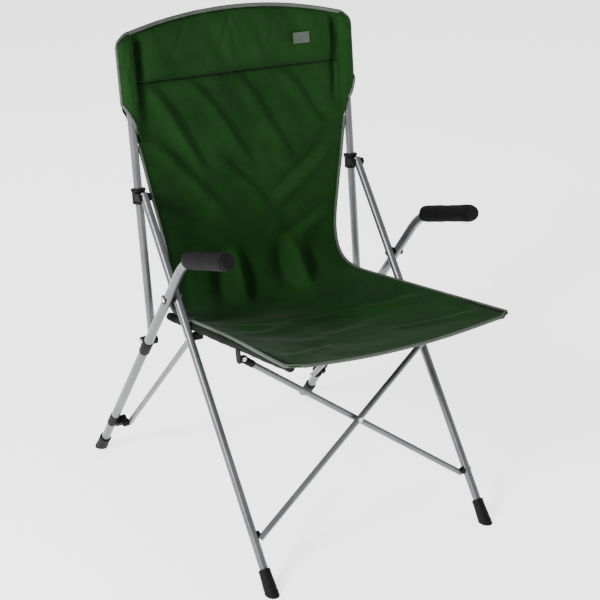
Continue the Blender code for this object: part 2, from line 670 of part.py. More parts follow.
PIVOTS = {
    "cross_rivet": CROSS_CENTRE, "cross_tube": CROSS_CENTRE,
    "cross_hub": place(0, *HUB), "hub_pin": place(0, *HUB),
    "seat_rail": place(0, *HUB), "rail_": place(0, *HUB), "hub_bracket": place(0, *HUB),
    "front_": place(0, *RAIL_PIVOT), "leg_knob": place(0, *RAIL_PIVOT),
    "arm_": place(0, *CROSSING), "rear_": place(0, *CROSSING), "grip_plug": place(0, *CROSSING),
    "crossing_": place(0, *CROSSING), "pole_fitting": place(0, *CROSSING),
    "collar": place(0, *COLLAR_PIN), "back_pole": place(0, *COLLAR_MID),
    "pole_eye": place(0, *COLLAR_MID), "pole_pocket": place(0, *COLLAR_MID),
    "rear_strut": place(0, *STRUT_FOOT), "strut_rivet": place(0, *STRUT_FOOT),
}
for ob in bpy.context.scene.objects:
    fits = [key for key in PIVOTS if ob.name.startswith(key)]
    if fits:
        pivot = PIVOTS[max(fits, key=len)]
        ob.data.transform(Matrix.Translation(-pivot))
        ob.location = pivot
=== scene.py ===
"""Looks for the folding camp chair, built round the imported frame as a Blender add-on."""
import json
import math

import bmesh
import bpy
from bpy.props import FloatProperty, IntProperty, PointerProperty, StringProperty
from mathutils import Matrix, Vector, noise


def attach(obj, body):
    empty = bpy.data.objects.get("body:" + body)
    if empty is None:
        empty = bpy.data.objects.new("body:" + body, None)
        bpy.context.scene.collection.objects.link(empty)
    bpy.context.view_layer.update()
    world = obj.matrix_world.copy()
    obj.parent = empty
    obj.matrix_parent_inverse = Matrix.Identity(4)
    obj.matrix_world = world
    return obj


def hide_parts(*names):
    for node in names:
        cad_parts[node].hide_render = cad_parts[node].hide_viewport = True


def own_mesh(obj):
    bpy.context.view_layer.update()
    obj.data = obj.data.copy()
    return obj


bl_info = {
    "name": "Folding Camp Chair",
    "version": (1, 0, 0),
    "blender": (4, 5, 0),
    "location": "3D View > Sidebar > Camp Chair",
    "description": "Builds the sling, tubes, fittings and stage of a folding camp chair",
    "category": "Object",
}

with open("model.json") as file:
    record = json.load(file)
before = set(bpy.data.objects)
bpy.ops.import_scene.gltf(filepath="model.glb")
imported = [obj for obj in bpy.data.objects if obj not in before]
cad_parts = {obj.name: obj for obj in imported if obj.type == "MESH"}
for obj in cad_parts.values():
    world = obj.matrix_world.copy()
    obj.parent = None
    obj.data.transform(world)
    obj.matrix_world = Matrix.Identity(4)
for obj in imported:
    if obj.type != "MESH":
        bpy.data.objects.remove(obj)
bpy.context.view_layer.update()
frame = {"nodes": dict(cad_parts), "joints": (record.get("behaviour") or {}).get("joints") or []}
SIDES = (("left", -1), ("right", 1))


# ---------------------------------------------------------------- side frame geometry
def step(point, direction, distance):
    """A (y, z) point moved along a direction."""
    return (point[0] + direction[0] * distance, point[1] + direction[1] * distance)


def joint_point(name):
    """The (y, z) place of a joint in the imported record."""
    found = next(j for j in frame["joints"] if j["name"] == name)
    return (found["pos_m"][1], found["pos_m"][2])


LEG_LEAN = math.radians(36.7)
ARM_LEAN = math.radians(37.6)
POLE_LEAN = math.radians(7.1)
RAIL_RISE = math.radians(7.5)
LEG_DIR = (math.sin(LEG_LEAN), math.cos(LEG_LEAN))
ARM_DOWN = (math.sin(ARM_LEAN), -math.cos(ARM_LEAN))
ARM_BACK = (math.cos(ARM_LEAN), math.sin(ARM_LEAN))
POLE_UP = (math.sin(POLE_LEAN), math.cos(POLE_LEAN))
POLE_FRONT = (-math.cos(POLE_LEAN), math.sin(POLE_LEAN))
RAIL_FRONT = (-math.cos(RAIL_RISE), math.sin(RAIL_RISE))
RAIL_UP = (math.sin(RAIL_RISE), math.cos(RAIL_RISE))
Y_SHIFT = -0.3725
LEG_X, ARM_X, RAIL_X, STRUT_X, CROSS_X = 0.270, 0.2905, 0.250, 0.2540, 0.249
LEG_R, ARM_R, THIN_R, THIN_WALL = 0.009, 0.010, 0.0065, 0.001
FITTING_DOWN = 0.186
BOOT_FLOOR = 0.0173         # where a tube starts inside its boot
BACK_TOP = 0.652            # up the pole to the back's top corners
FRONT_FOOT = (Y_SHIFT, 0.0)
RAIL_PIVOT = joint_point("leg_turn_left")
CROSSING = joint_point("arm_turn_left")
COLLAR_PIN = joint_point("collar_turn_left")
HUB = joint_point("rail_turn_left")
STRUT_FOOT = joint_point("strut_turn_left")
CLEVIS = step(FRONT_FOOT, LEG_DIR, 0.1207)
COLLAR_MID = step(COLLAR_PIN, POLE_FRONT, -0.029)
FITTING = step(step(CROSSING, ARM_DOWN, FITTING_DOWN), ARM_BACK, 0.014)
REAR_FOOT = step(CROSSING, ARM_DOWN, CROSSING[1] / math.cos(ARM_LEAN))
POLE_FOOT = step(COLLAR_MID, POLE_UP, -((COLLAR_MID[1] - FITTING[1]) / POLE_UP[1]))
RAIL_MID = step(RAIL_PIVOT, RAIL_UP, 0.016)
RAIL_FRONT_END = step(RAIL_MID, RAIL_FRONT, (RAIL_MID[0] - (-0.040 + Y_SHIFT)) / math.cos(RAIL_RISE))
RAIL_REAR_END = step(RAIL_MID, RAIL_FRONT, -0.130)
BEND = (0.294 + Y_SHIFT, 0.620)
ARM_END = (0.118 + Y_SHIFT, 0.669)
STRUT_TIP = (0.3495 + Y_SHIFT, 0.4265)
POLE_LENGTH = 0.618


def at(x, point):
    """A side-frame point at a distance across the chair."""
    return Vector((x, point[0], point[1]))


def vec(direction):
    """A side-frame direction as a vector."""
    return Vector((0, direction[0], direction[1]))


# ---------------------------------------------------------------- modelling helpers
def deselect():
    """Leave object mode with nothing selected."""
    if bpy.context.mode != "OBJECT":
        bpy.ops.object.mode_set(mode="OBJECT")
    bpy.ops.object.select_all(action="DESELECT")


def activate(ob):
    """Select one object alone and make it active."""
    deselect()
    ob.select_set(True)
    bpy.context.view_layer.objects.active = ob


def apply_all(ob):
    """Apply an object's modifiers in order, then its place and turn."""
    activate(ob)
    for mod in list(ob.modifiers):
        bpy.ops.object.modifier_apply(modifier=mod.name)
    bpy.ops.object.transform_apply(location=True, rotation=True, scale=True)


def dress(ob, mat):
    """Give an object one material in its only slot."""
    ob.data.materials.clear()
    ob.data.materials.append(mat)
    return ob


def smooth(ob, angle=40):
    """Shade an object smooth but for its sharp corners."""
    activate(ob)
    bpy.ops.object.shade_smooth_by_angle(angle=math.radians(angle))
    return ob


def mend(ob):
    """Merge an object's doubles and turn its faces outwards."""
    activate(ob)
    bpy.ops.object.mode_set(mode="EDIT")
    bpy.ops.mesh.select_all(action="SELECT")
    bpy.ops.mesh.remove_doubles(threshold=0.00001)
    bpy.ops.mesh.normals_make_consistent(inside=False)
    bpy.ops.object.mode_set(mode="OBJECT")
    return ob


def aim(ob, start, direction):
    """Stand an object made along +Z at a point, turned to a direction, and apply it."""
    turn = direction.normalized().to_track_quat("Z", "Y").to_matrix().to_4x4()
    ob.data.transform(Matrix.Translation(start) @ turn)


def turned(name, profile, start, direction, mat, steps=48, closed=False):
    """A turned piece: a (radius, height) outline swept round its axis by Screw."""
    mesh = bpy.data.meshes.new(name)
    edges = [(i, i + 1) for i in range(len(profile) - 1)]
    if closed:
        edges.append((len(profile) - 1, 0))
    mesh.from_pydata([(r, 0, h) for r, h in profile], edges, [])
    ob = bpy.data.objects.new(name, mesh)
    bpy.context.scene.collection.objects.link(ob)
    screw = ob.modifiers.new("turn", "SCREW")
    screw.steps = steps
    screw.render_steps = steps
    screw.use_merge_vertices = True
    screw.merge_threshold = 0.00001
    apply_all(ob)
    mend(ob)
    aim(ob, start, direction)
    dress(ob, mat)
    return smooth(ob)


def pipe(name, a, b, radius, mat, wall=0.0012, steps=48):
    """A straight hollow tube with softly rounded ends."""
    length = (b - a).length
    inner = radius - wall
    edge = 0.0004
    outline = [(inner, edge), (inner + edge, 0), (radius - edge, 0), (radius, edge),
               (radius, length - edge), (radius - edge, length), (inner + edge, length), (inner, length - edge)]
    return turned(name, outline, a, b - a, mat, steps, closed=True)


def fillet(points, radius, count=7):
    """A bent line with each inner corner rounded."""
    out = [points[0]]
    for before, corner, after in zip(points, points[1:], points[2:]):
        a_dir = (before - corner).normalized()
        b_dir = (after - corner).normalized()
        reach = radius / math.tan(a_dir.angle(b_dir) / 2)
        reach = min(reach, (before - corner).length * 0.45, (after - corner).length * 0.45)
        for i in range(count):
            t = i / (count - 1)
            p, q = corner + a_dir * reach, corner + b_dir * reach
            out.append(p * (1 - t) ** 2 + corner * 2 * t * (1 - t) + q * t * t)
    return out + [points[-1]]


def swept(name, points, radius, mat, resolution=5, closed=False):
    """A round cord or bent tube along a line of points, closed at its ends."""
    curve = bpy.data.curves.new(name, "CURVE")
    curve.dimensions = "3D"
    curve.bevel_depth = radius
    curve.bevel_resolution = resolution
    curve.use_fill_caps = not closed
    spline = curve.splines.new("POLY")
    spline.points.add(len(points) - 1)
    for slot, p in zip(spline.points, points):
        slot.co = (*p, 1.0)
    spline.use_cyclic_u = closed
    ob = bpy.data.objects.new(name, curve)
    bpy.context.scene.collection.objects.link(ob)
    activate(ob)
    bpy.ops.object.convert(target="MESH")
    ob = bpy.context.view_layer.objects.active
    mend(ob)
    dress(ob, mat)
    return smooth(ob)


def grid_sheet(name, rows, columns, surface, thickness, mat):
    """A cloth sheet: a grid laid on surface(u, v) and given its thickness."""
    deselect()
    bpy.ops.mesh.primitive_grid_add(x_subdivisions=columns, y_subdivisions=rows, size=1.0)
    ob = bpy.context.view_layer.objects.active
    ob.name = name
    ob.data.name = name
    for v in ob.data.vertices:
        v.co = surface(v.co.y + 0.5, v.co.x + 0.5)
    solid = ob.modifiers.new("cloth", "SOLIDIFY")
    solid.thickness = thickness
    solid.offset = 0.0
    apply_all(ob)
    mend(ob)
    dress(ob, mat)
    return smooth(ob, 60)


def soft_step(value, low, high):
    """0 below low, 1 above high and smooth between."""
    t = max(0.0, min(1.0, (value - low) / (high - low)))
    return t * t * (3 - 2 * t)


def fold_line(x, y, start, end, width, height):
    """Height of one soft crease that runs from start to end."""
    ax, ay = start
    bx, by = end
    dx, dy = bx - ax, by - ay
    length = math.hypot(dx, dy)
    t = ((x - ax) * dx + (y - ay) * dy) / (length * length)
    off = ((x - ax) * dy - (y - ay) * dx) / length
    fade = soft_step(t, -0.15, 0.25) * (1 - soft_step(t, 0.75, 1.15))
    bend = 0.25 * width * math.sin(t * 5.0)
    return height * fade * math.exp(-(((off + bend) / width) ** 2))


# ---------------------------------------------------------------- materials
def linear(hex_colour):
    """An sRGB hex colour as linear RGBA."""
    parts = [int(hex_colour[i:i + 2], 16) / 255 for i in (0, 2, 4)]
    return tuple(p / 12.92 if p <= 0.04045 else ((p + 0.055) / 1.055) ** 2.4 for p in parts) + (1.0,)


def feed(tree, made, inputs):
    """Set a node's inputs; each is a value or another node's output."""
    for key, value in inputs.items():
        if isinstance(value, bpy.types.NodeSocket):
            tree.links.new(value, made.inputs[key])
        else:
            made.inputs[key].default_value = value


def node(tree, kind, inputs=None, **settings):
    """Add a node with its settings and links."""
    made = tree.nodes.new(kind)
    for key, value in settings.items():
        setattr(made, key, value)
    feed(tree, made, inputs or {})
    return made


RGBA = {"data_type": "RGBA"}            # a mix of colours: inputs 0, 6 and 7, output 2


def fresh(name):
    """A new material with only its shader and output."""
    mat = bpy.data.materials.new(name)
    mat.use_nodes = True
    tree = mat.node_tree
    return mat, tree, tree.nodes["Principled BSDF"]


def powder_coated_steel():
    """Silver-grey powder coat on steel: a soft gloss with a fine orange-peel texture."""
    mat, tree, shader = fresh("powder-coated steel")
    where = node(tree, "ShaderNodeTexCoord").outputs["Object"]
    # orange peel about 1.2 mm across, and slow tone change along the tube
    peel = node(tree, "ShaderNodeTexNoise", {"Vector": where, "Scale": 800.0, "Detail": 3.0})
    tone = node(tree, "ShaderNodeTexNoise", {"Vector": where, "Scale": 14.0, "Detail": 4.0})
    fleck = node(tree, "ShaderNodeTexNoise", {"Vector": where, "Scale": 2600.0, "Detail": 1.0})
    band = node(tree, "ShaderNodeMapRange", {"Value": tone.outputs["Fac"], "From Min": 0.35, "From Max": 0.65})
    base = node(tree, "ShaderNodeMix", {0: band.outputs[0], 6: linear("4e5052"), 7: linear("5c5e5f")},
                **RGBA).outputs[2]
    spark = node(tree, "ShaderNodeMapRange", {"Value": fleck.outputs["Fac"], "From Min": 0.62,
                                              "From Max": 0.78, "To Max": 0.35})
    colour = node(tree, "ShaderNodeMix", {0: spark.outputs[0], 6: base, 7: linear("9a9e9c")}, **RGBA)
    rough = node(tree, "ShaderNodeMapRange", {"Value": peel.outputs["Fac"], "To Min": 0.30, "To Max": 0.44})
    bump = node(tree, "ShaderNodeBump", {"Height": peel.outputs["Fac"], "Strength": 0.12, "Distance": 0.0002})
    feed(tree, shader, {
        "Base Color": colour.outputs[2], "Roughness": rough.outputs[0], "Normal": bump.outputs[0],
        "Metallic": 0.55, "Coat Weight": 0.25, "Coat Roughness": 0.2,
    })
    return mat


def moulded_polypropylene():
    """Near-black moulded polypropylene: spark-eroded grain with a dull sheen and scuffed grey patches."""
    mat, tree, shader = fresh("moulded polypropylene")
    where = node(tree, "ShaderNodeTexCoord").outputs["Object"]
    # mould grain about 0.7 mm across
    grain = node(tree, "ShaderNodeTexVoronoi", {"Vector": where, "Scale": 1400.0})
    scuff = node(tree, "ShaderNodeTexNoise", {"Vector": where, "Scale": 90.0, "Detail": 6.0})
    worn = node(tree, "ShaderNodeMapRange", {"Value": scuff.outputs["Fac"], "From Min": 0.5, "From Max": 0.75})
    colour = node(tree, "ShaderNodeMix", {0: worn.outputs[0], 6: linear("0a0a0a"), 7: linear("161516")}, **RGBA)
    rough = node(tree, "ShaderNodeMapRange", {"Value": scuff.outputs["Fac"], "To Min": 0.52, "To Max": 0.72})
    bump = node(tree, "ShaderNodeBump", {"Height": grain.outputs["Distance"], "Strength": 0.25,
                                         "Distance": 0.0003})
    feed(tree, shader, {
        "Base Color": colour.outputs[2], "Roughness": rough.outputs[0], "Normal": bump.outputs[0], "IOR": 1.49,
        "Specular IOR Level": 0.12,
    })
    return mat


def eva_foam():
    """Black EVA foam: closed-cell with a skived skin, very matt, with pin-hole pits darkened by painted shade."""
    mat, tree, shader = fresh("EVA foam")
    where = node(tree, "ShaderNodeTexCoord").outputs["Object"]
    # foam cells about 1 mm across, drawn a little coarse so that they show
    cells = node(tree, "ShaderNodeTexVoronoi", {"Vector": where, "Scale": 900.0})
    cloud = node(tree, "ShaderNodeTexNoise", {"Vector": where, "Scale": 60.0, "Detail": 5.0})
    # painted shade: the pits, where the bump is low, are coloured darker than the foam around them
    painted_pit_shade = node(tree, "ShaderNodeMapRange", {"Value": cells.outputs["Distance"], "From Min": 0.1,
                                            "From Max": 0.6})
    base = node(tree, "ShaderNodeMix", {0: painted_pit_shade.outputs[0], 6: linear("050505"), 7: linear("0d0c0d")},
                **RGBA).outputs[2]
    colour = node(tree, "ShaderNodeMix", {0: cloud.outputs["Fac"], 6: base, 7: linear("080708")}, **RGBA)
    bump = node(tree, "ShaderNodeBump", {"Height": cells.outputs["Distance"], "Strength": 0.5,
                                         "Distance": 0.0006})
    feed(tree, shader, {
        "Base Color": colour.outputs[2], "Normal": bump.outputs[0], "Roughness": 0.92,
        "Specular IOR Level": 0.15,
    })
    return mat


def zinc_plated_steel():
    """Zinc-plated rivets: bright metal with faint cloudy passivation."""
    mat, tree, shader = fresh("zinc-plated steel")
    where = node(tree, "ShaderNodeTexCoord").outputs["Object"]
    cloud = node(tree, "ShaderNodeTexNoise", {"Vector": where, "Scale": 300.0, "Detail": 4.0})
    colour = node(tree, "ShaderNodeMix", {0: cloud.outputs["Fac"], 6: linear("a9aaa8"), 7: linear("d0d1cc")},
                  **RGBA)
    rough = node(tree, "ShaderNodeMapRange", {"Value": cloud.outputs["Fac"], "To Min": 0.2, "To Max": 0.42})
    feed(tree, shader, {"Base Color": colour.outputs[2], "Roughness": rough.outputs[0], "Metallic": 1.0})
    return mat


def woven(name, dark, light, thread_mm, sheen, strength):
    """Plain-weave cloth: warp and weft ribs crossing, painted shade in the gaps between the threads, slubs, and slow
    fading of the dye.
    """
    mat, tree, shader = fresh(name)
    where = node(tree, "ShaderNodeTexCoord").outputs["Object"]
    # one wave spans two threads and repeats about every 1 / (scale * pi) metres; real yarns are about 0.5 mm
    # apart, and thread_mm is given two to four times coarser so that the weave shows
    scale = 1000.0 / (thread_mm * 2 * math.pi)
    warp = node(tree, "ShaderNodeTexWave", {"Vector": where, "Scale": scale}, wave_type="BANDS",
                bands_direction="X")
    weft = node(tree, "ShaderNodeTexWave", {"Vector": where, "Scale": scale}, wave_type="BANDS",
                bands_direction="Z")
    weave = node(tree, "ShaderNodeMath", {0: warp.outputs["Fac"], 1: weft.outputs["Fac"]}, operation="MULTIPLY")
    slub = node(tree, "ShaderNodeTexNoise", {"Vector": where, "Scale": 420.0, "Detail": 3.0})
    fade = node(tree, "ShaderNodeTexNoise", {"Vector": where, "Scale": 7.0, "Detail": 5.0, "Roughness": 0.6})
    tone = node(tree, "ShaderNodeMapRange", {"Value": fade.outputs["Fac"], "From Min": 0.35, "From Max": 0.68})
    base = node(tree, "ShaderNodeMix", {0: tone.outputs[0], 6: linear(dark), 7: linear(light)},
                **RGBA).outputs[2]
    speck = node(tree, "ShaderNodeMapRange", {"Value": slub.outputs["Fac"], "From Min": 0.4,
                                              "From Max": 0.75, "To Max": 0.45})
    base = node(tree, "ShaderNodeMix", {0: speck.outputs[0], 6: base, 7: linear(light)}, **RGBA).outputs[2]
    # painted shade: where the weave's bump is low, between the threads, the colour is mixed towards the dark dye
    painted_gap_shade = node(tree, "ShaderNodeMapRange", {"Value": weave.outputs[0], "To Min": 0.35, "To Max": 0.0})
    colour = node(tree, "ShaderNodeMix", {0: painted_gap_shade.outputs[0], 6: base, 7: linear(dark)}, **RGBA)
    sum_height = node(tree, "ShaderNodeMath", {0: weave.outputs[0], 1: slub.outputs["Fac"]}, operation="ADD")
    bump = node(tree, "ShaderNodeBump", {"Height": sum_height.outputs[0], "Strength": strength,
                                         "Distance": 0.0004})
    feed(tree, shader, {
        "Base Color": colour.outputs[2], "Normal": bump.outputs[0], "Roughness": 0.82, "Sheen Weight": sheen,
        "Sheen Roughness": 0.4, "Specular IOR Level": 0.06,
    })
    return mat


def floor_paint():
    """Pale matt studio floor, lit from beneath like a light table, with a barely visible mottle."""
    mat, tree, shader = fresh("matt white floor paint")
    where = node(tree, "ShaderNodeTexCoord").outputs["Object"]
    mottle = node(tree, "ShaderNodeTexNoise", {"Vector": where, "Scale": 2.0, "Detail": 2.0})
    colour = node(tree, "ShaderNodeMix", {0: mottle.outputs["Fac"], 6: linear("fafafa"),
                                          7: linear("fdfdfd")}, **RGBA)
    feed(tree, shader, {
        "Base Color": colour.outputs[2], "Roughness": 0.9, "Emission Color": (1.0, 1.0, 1.0, 1.0),
        "Emission Strength": 2.0,
    })
    return mat


MATS = {}


def finish_named(key):
    """One of the chair's finishes, made the first time it is asked for."""
    if not MATS:
        MATS["steel"] = powder_coated_steel()
        MATS["plastic"] = moulded_polypropylene()
        MATS["foam"] = eva_foam()
        MATS["zinc"] = zinc_plated_steel()
        looks = bpy.context.scene.camp_chair
        MATS["green"] = woven("600D polyester oxford weave", looks.green_dark, looks.green_light, 1.6, 0.03, 0.35)
        MATS["piping"] = woven("grey polyester piping tape", "3f443f", "585f58", 1.2, 0.05, 0.4)
        # painted shade: a near-black green cloth that stands for the green rail sleeves and the headrest seam in
        # shadow
        MATS["hem"] = woven("dark polyester webbing hem", "0e130e", "1a211a", 1.8, 0.03, 0.5)
        MATS["label"] = woven("woven label tape", "3a423a", "525a52", 0.9, 0.03, 0.3)
    return MATS[key]


def ride_with(ob, body, replaced=()):
    """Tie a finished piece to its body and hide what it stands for."""
    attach(ob, body)
    if replaced:
        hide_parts(*replaced)
    return ob


# ---------------------------------------------------------------- settings
class CampChairSettings(bpy.types.PropertyGroup):
    """Sizes and colours a user would change."""

    tube_steps: IntProperty(name="Tube Sides", description="Sides of each round tube", default=48, min=12)
    cloth_thickness: FloatProperty(name="Cloth Thickness", description="Thickness of the sling cloth",
                                   default=0.0016, unit="LENGTH", subtype="DISTANCE")
    piping_radius: FloatProperty(name="Piping Radius", description="Radius of the piping on the sling's edges",
                                 default=0.0034, unit="LENGTH", subtype="DISTANCE")
    wrinkle_height: FloatProperty(name="Wrinkle Height", description="Height of the sling's soft creases",
                                  default=0.0110, unit="LENGTH", subtype="DISTANCE")
    pad_thickness: FloatProperty(name="Pad Thickness", description="Thickness of the headrest pad",
                                 default=0.021, unit="LENGTH", subtype="DISTANCE")
    green_dark: StringProperty(name="Dark Green", description="Shaded dye colour, sRGB hex", default="0e270c")
    green_light: StringProperty(name="Light Green", description="Lit dye colour, sRGB hex", default="163814")


# ---------------------------------------------------------------- frame pieces
class CAMP_OT_tubes(bpy.types.Operator):
    """Front legs, back poles, struts, cross tubes and bent armrest tubes"""

    bl_idname = "camp.tubes"
    bl_label = "Frame Tubes"

    def execute(self, context):
        steel = finish_named("steel")
        steps = context.scene.camp_chair.tube_steps
        up = vec(LEG_DIR)
        cross_up = at(0, HUB) - at(0, CLEVIS)
        cross_normal = Vector((1, 0, 0)).cross(cross_up).normalized()
        for tag, side in SIDES:
            low = at(side * LEG_X, FRONT_FOOT) + up * BOOT_FLOOR
            high = at(side * LEG_X, COLLAR_PIN) + up * 0.0085
            ride_with(pipe(f"front_leg_tube_{tag}", low, high, LEG_R, steel, steps=steps),
                      f"leg_{tag}", [f"front_leg_{tag}"])
            foot = at(side * LEG_X, POLE_FOOT)
            pole_dir = vec(POLE_UP)
            ride_with(pipe(f"back_pole_tube_{tag}", foot + pole_dir * 0.004, foot + pole_dir * POLE_LENGTH,
                           LEG_R, steel, steps=steps), f"pole_{tag}", [f"back_pole_{tag}"])
            a, b = at(side * STRUT_X, STRUT_FOOT), at(side * STRUT_X, STRUT_TIP)
            run = (b - a).normalized()
            ride_with(pipe(f"strut_tube_{tag}", a - run * 0.010, b, THIN_R, steel, THIN_WALL, steps),
                      f"strut_{tag}", [f"rear_strut_{tag}"])
            cap = [(0, -0.008), (0.0052, -0.008), (0.0052, 0), (0.0066, 0.0002), (0.0064, 0.003), (0.004, 0.0046),
                   (0, 0.005)]
            ride_with(turned(f"strut_end_cap_{tag}", cap, b, run, finish_named("plastic")),
                      f"strut_{tag}")
            low = at(side * CROSS_X, CLEVIS)
            high = at(-side * CROSS_X, HUB)
            run = (high - low).normalized()
            shift = cross_normal * (-0.0072 * side)
            ride_with(pipe(f"front_cross_tube_{tag}", low - run * 0.012 + shift, high + run * 0.002 + shift,
                           THIN_R, steel, THIN_WALL, steps), f"cross_{tag}", [f"cross_tube_{tag}"])
            end = [(0.0067, 0), (0.0078, 0.0008), (0.0078, 0.024), (0.0067, 0.026), (0.0067, 0)]
            ride_with(turned(f"cross_top_sleeve_{tag}", end[:-1], high - run * 0.030 + shift, run,
                             finish_named("plastic"), closed=True), f"cross_{tag}")
            rear = step(REAR_FOOT, ARM_DOWN, -BOOT_FLOOR)
            corner = step(CROSSING, ARM_DOWN, -(BEND[1] - CROSSING[1]) / math.cos(ARM_LEAN))
            line = fillet([at(side * ARM_X, rear), at(side * ARM_X, corner), at(side * ARM_X, ARM_END)], 0.15, 14)
            ride_with(swept(f"bent_arm_tube_{tag}", line, ARM_R, steel, 10), f"arm_{tag}", [f"arm_tube_{tag}"])
        return {"FINISHED"}


def trimmed_boot(name, foot, direction, x, tube_r, top, mat):
    """A moulded boot with ribs and a collar bead, cut flat on the floor."""
    outline = [(0, -0.03), (0.0148, -0.03), (0.0146, 0.002), (0.0144, 0.006), (0.0138, 0.0075), (0.0138, 0.0105),
               (0.0141, 0.0115), (0.0135, 0.022), (tube_r + 0.0034, top - 0.010), (tube_r + 0.0036, top - 0.006),
               (tube_r + 0.0036, top - 0.002), (tube_r + 0.0028, top), (tube_r + 0.0004, top),
               (tube_r + 0.0004, 0.017), (0, 0.017)]
    ob = turned(name, outline, at(x, foot), vec(direction), mat)
    activate(ob)
    bpy.ops.object.mode_set(mode="EDIT")
    bpy.ops.mesh.select_all(action="SELECT")
    bpy.ops.mesh.bisect(plane_co=(0, 0, 0), plane_no=(0, 0, 1), use_fill=True, clear_inner=True)
    bpy.ops.mesh.select_all(action="SELECT")
    bpy.ops.mesh.normals_make_consistent(inside=False)
    bpy.ops.object.mode_set(mode="OBJECT")
    return smooth(ob, 35)


class CAMP_OT_boots(bpy.types.Operator):
    """Moulded boots on all four feet"""

    bl_idname = "camp.boots"
    bl_label = "Boots"

    def execute(self, context):
        black = finish_named("plastic")
        for tag, side in SIDES:
            front = trimmed_boot(f"front_moulded_boot_{tag}", FRONT_FOOT, LEG_DIR, side * LEG_X, LEG_R, 0.052, black)
            ride_with(front, f"leg_{tag}", [f"front_boot_{tag}"])
            up = (-ARM_DOWN[0], -ARM_DOWN[1])
            rear = trimmed_boot(f"rear_moulded_boot_{tag}", REAR_FOOT, up, side * ARM_X, ARM_R, 0.050, black)
            ride_with(rear, f"arm_{tag}", [f"rear_boot_{tag}"])
        return {"FINISHED"}


class CAMP_OT_grips(bpy.types.Operator):
    """Foam armrest grips with their end plugs"""

    bl_idname = "camp.grips"
    bl_label = "Armrest Grips"

    def execute(self, context):
        corner = Vector(step(CROSSING, ARM_DOWN, -(BEND[1] - CROSSING[1]) / math.cos(ARM_LEAN)))
        run = Vector(ARM_END) - corner
        forward = vec(run.normalized())
        for tag, side in SIDES:
            start = corner + run.normalized() * 0.014
            length = run.length - 0.015
            r = 0.0182
            outline = [(0.0102, 0.0006), (0.0125, 0.0), (0.0158, 0.0010), (0.0176, 0.0035), (r, 0.008)]
            for i in range(1, 24):
                t = i / 24
                sway = 0.00022 * math.sin(t * 21.0 + side) + 0.0003 * math.sin(t * 8.0)
                outline.append((r + sway, 0.008 + (length - 0.016) * t))
            outline += [(r, length - 0.006), (0.0172, length - 0.0022), (0.0155, length), (0.0102, length)]
            ob = turned(f"foam_grip_{tag}", outline, at(side * ARM_X, tuple(start)), forward,
                        finish_named("foam"), closed=True)
            ride_with(ob, f"arm_{tag}", [f"arm_grip_{tag}"])
            plug = [(0, -0.010), (0.0085, -0.010), (0.0085, 0.0), (0.0150, 0.0), (0.0152, 0.0020), (0.0145, 0.0034),
                    (0.0115, 0.0040), (0.0108, 0.0032), (0.0, 0.0032)]
            ob = turned(f"grip_end_plug_{tag}", plug, at(side * ARM_X, ARM_END), forward, finish_named("plastic"))
            ride_with(ob, f"arm_{tag}", [f"grip_plug_{tag}"])
        return {"FINISHED"}


def screw_head(name, centre, outward, radius, body, height=0.0016, finish="zinc"):
    """A pan head with a rolled rim and a dimple, as a tubular rivet has."""
    outline = [(0, 0.0006), (radius * 0.28, 0.0006), (radius * 0.42, height), (radius * 0.75, height),
               (radius * 0.95, height * 0.6), (radius, 0.0), (0, -0.0002)]
    ob = turned(name, outline, centre, outward, finish_named(finish), 32)
    return ride_with(ob, body)


class CAMP_OT_collars(bpy.types.Operator):
    """Sliding collars, fitting clamps, pin and rivet heads and crossing washers"""

    bl_idname = "camp.collars"
    bl_label = "Collars and Fittings"

    def execute(self, context):
        black = finish_named("plastic")
        for tag, side in SIDES:
            mid = at(side * LEG_X, COLLAR_MID)
            outline = [(0.0094, -0.0165), (0.0135, -0.0165), (0.0146, -0.0150), (0.0148, -0.0115), (0.0142, -0.0105),
                       (0.0142, 0.0085), (0.0150, 0.0098), (0.0160, 0.0108), (0.0160, 0.0145), (0.0148, 0.0162),
                       (0.0094, 0.0165)]
            ob = turned(f"collar_shell_{tag}", outline, mid, vec(POLE_UP), black, closed=True)
            ride_with(ob, f"collar_{tag}")
            for x, way in ((LEG_X + 0.0133 + 0.0005, side), (LEG_X - 0.0133 - 0.0005, -side)):
                screw_head(f"collar_pin_head_{tag}_{'out' if way == side else 'in'}",
                           at(side * x, COLLAR_PIN), Vector((way, 0, 0)), 0.0058, f"collar_{tag}", finish="plastic")
            ring = [(0.0104, -0.020), (0.0116, -0.020), (0.0121, -0.018), (0.0121, 0.018), (0.0116, 0.020),
                    (0.0104, 0.020)]
            centre = at(side * ARM_X, step(CROSSING, ARM_DOWN, FITTING_DOWN))
            ob = turned(f"fitting_clamp_{tag}", ring, centre, vec(ARM_DOWN), black, closed=True)
            ride_with(ob, f"arm_{tag}")
            screw_head(f"pole_pin_head_{tag}", at(side * (LEG_X - 0.0092), POLE_FOOT), Vector((-side, 0, 0)),
                       0.0056, f"pole_{tag}", 0.0009)
            screw_head(f"fitting_pin_head_{tag}", at(side * (ARM_X + 0.0062), FITTING), Vector((side, 0, 0)),
                       0.0060, f"arm_{tag}")
            screw_head(f"clevis_head_{tag}", at(side * (LEG_X + 0.0088), CLEVIS), Vector((side, 0, 0)), 0.0052,
                       f"leg_{tag}")
            screw_head(f"crossing_head_out_{tag}", at(side * (ARM_X + 0.0100), CROSSING), Vector((side, 0, 0)),
                       0.0066, f"leg_{tag}", 0.0022)
            washer = [(0.0035, -0.0006), (0.0100, -0.0006), (0.0104, 0.0), (0.0100, 0.0009), (0.0035, 0.0009)]
            ob = turned(f"crossing_washer_{tag}", washer, at(side * (ARM_X + 0.0096), CROSSING),
                        Vector((side, 0, 0)), black, closed=True)
            ride_with(ob, f"leg_{tag}")
        return {"FINISHED"}


